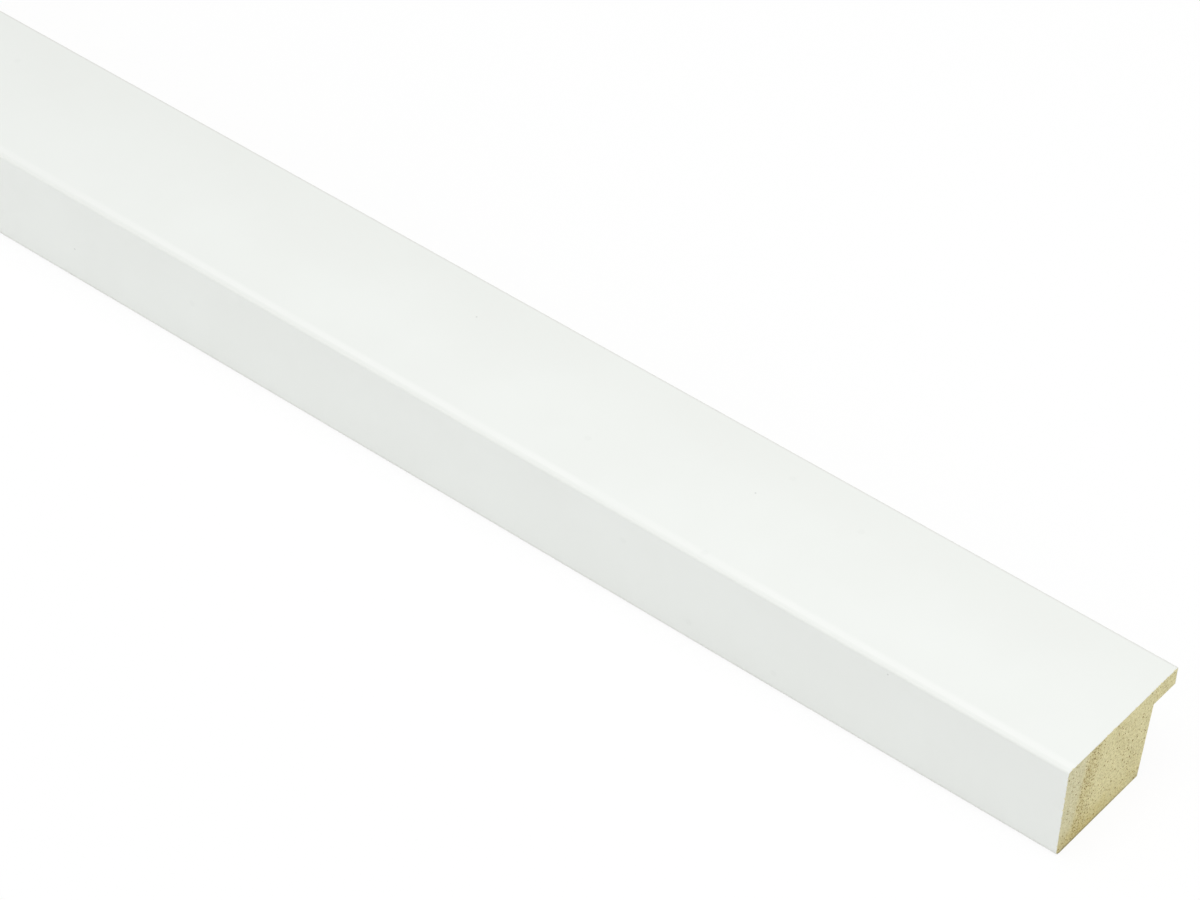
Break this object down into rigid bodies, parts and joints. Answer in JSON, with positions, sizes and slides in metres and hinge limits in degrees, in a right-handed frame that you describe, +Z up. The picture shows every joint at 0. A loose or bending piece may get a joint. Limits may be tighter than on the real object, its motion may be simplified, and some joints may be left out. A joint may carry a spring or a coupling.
{
  "type": "picture frame moulding",
  "caption": "Straight stick of flat-faced picture frame moulding in white-lacquered wood, with rounded outer edges, sawn ends and a rabbet under the sight edge for glass, picture and backing.",
  "frame": {"origin": "half way along the stick and half way across its face, on the plane of the back that it lies on", "axes": "+X along the stick, +Y from the outer side to the sight edge that overhangs the rabbet, +Z up from the back to the face"},
  "size_m": [1, 0.03, 0.0184],
  "materials": {
    "lacquered_wood": "satin"
  },
  "bodies": {
    "root": {"moulding": "lacquered_wood"}
  },
  "joints": []
}
